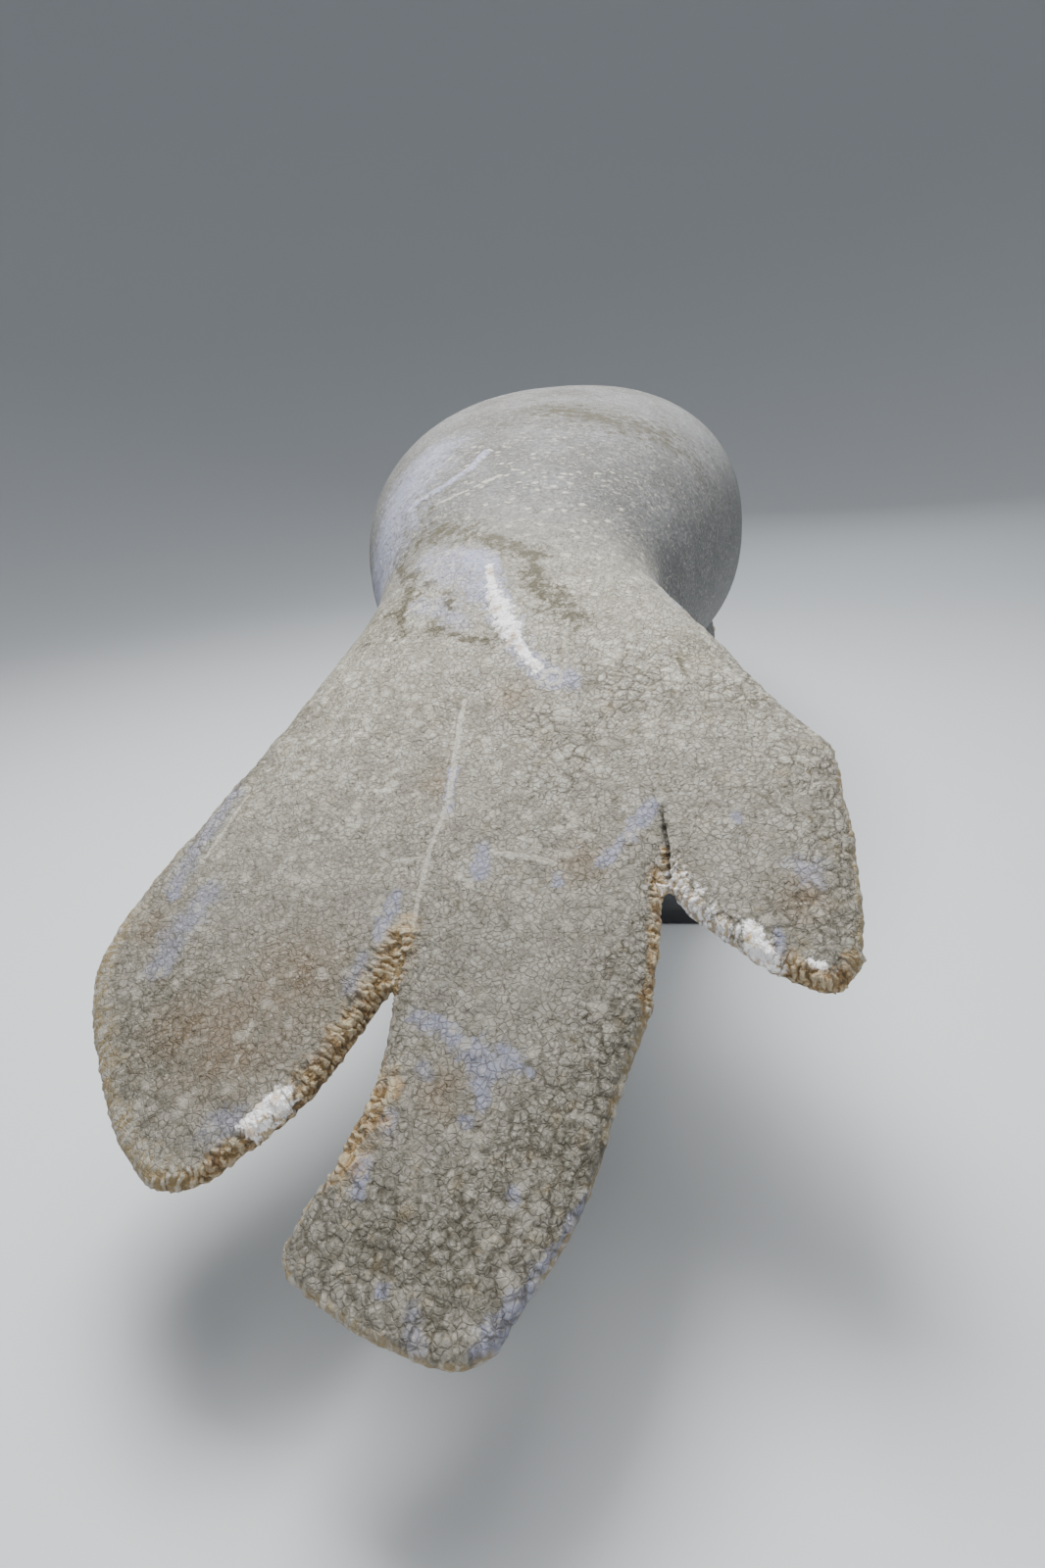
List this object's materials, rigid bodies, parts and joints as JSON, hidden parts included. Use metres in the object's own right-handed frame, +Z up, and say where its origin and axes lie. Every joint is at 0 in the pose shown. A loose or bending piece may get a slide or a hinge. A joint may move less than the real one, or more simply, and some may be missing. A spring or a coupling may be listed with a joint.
{
  "type": "manatee",
  "caption": "Life-size swimming manatee, flippers held back and lowered tail paddle parted into lobes by old wounds, held above a flat display base by short rods.",
  "frame": {"origin": "centre of the stand base's underside, on the floor", "axes": "+Y towards the tail, +X towards the animal's left, +Z up"},
  "size_m": [0.7408, 2.9634, 0.8813],
  "materials": {
    "hide": "wrinkled, wet grey-beige hide",
    "paddle_hide": "cobbled, scarred grey-beige hide",
    "nail": "satin horn",
    "eye": "glossy dark brown",
    "base_paint": "satin charcoal paint",
    "rod_steel": "brushed"
  },
  "bodies": {
    "root": {"muzzle": "hide", "lower_jaw": "hide", "head": "hide", "neck": "hide", "chest": "hide", "belly": "hide", "loins": "hide", "tail_stock": "hide", "flipper_left": "hide", "flipper_right": "hide", "paddle_fan": "paddle_hide", "paddle_lobe_left": "paddle_hide", "paddle_lobe_middle": "paddle_hide", "paddle_lobe_right": "paddle_hide", "nail_left_1": "nail", "nail_left_2": "nail", "nail_left_3": "nail", "nail_right_1": "nail", "nail_right_2": "nail", "nail_right_3": "nail", "eye_left": "eye", "eye_right": "eye", "stand_base": "base_paint", "stand_rod_front": "rod_steel", "stand_rod_rear": "rod_steel"}
  },
  "joints": []
}
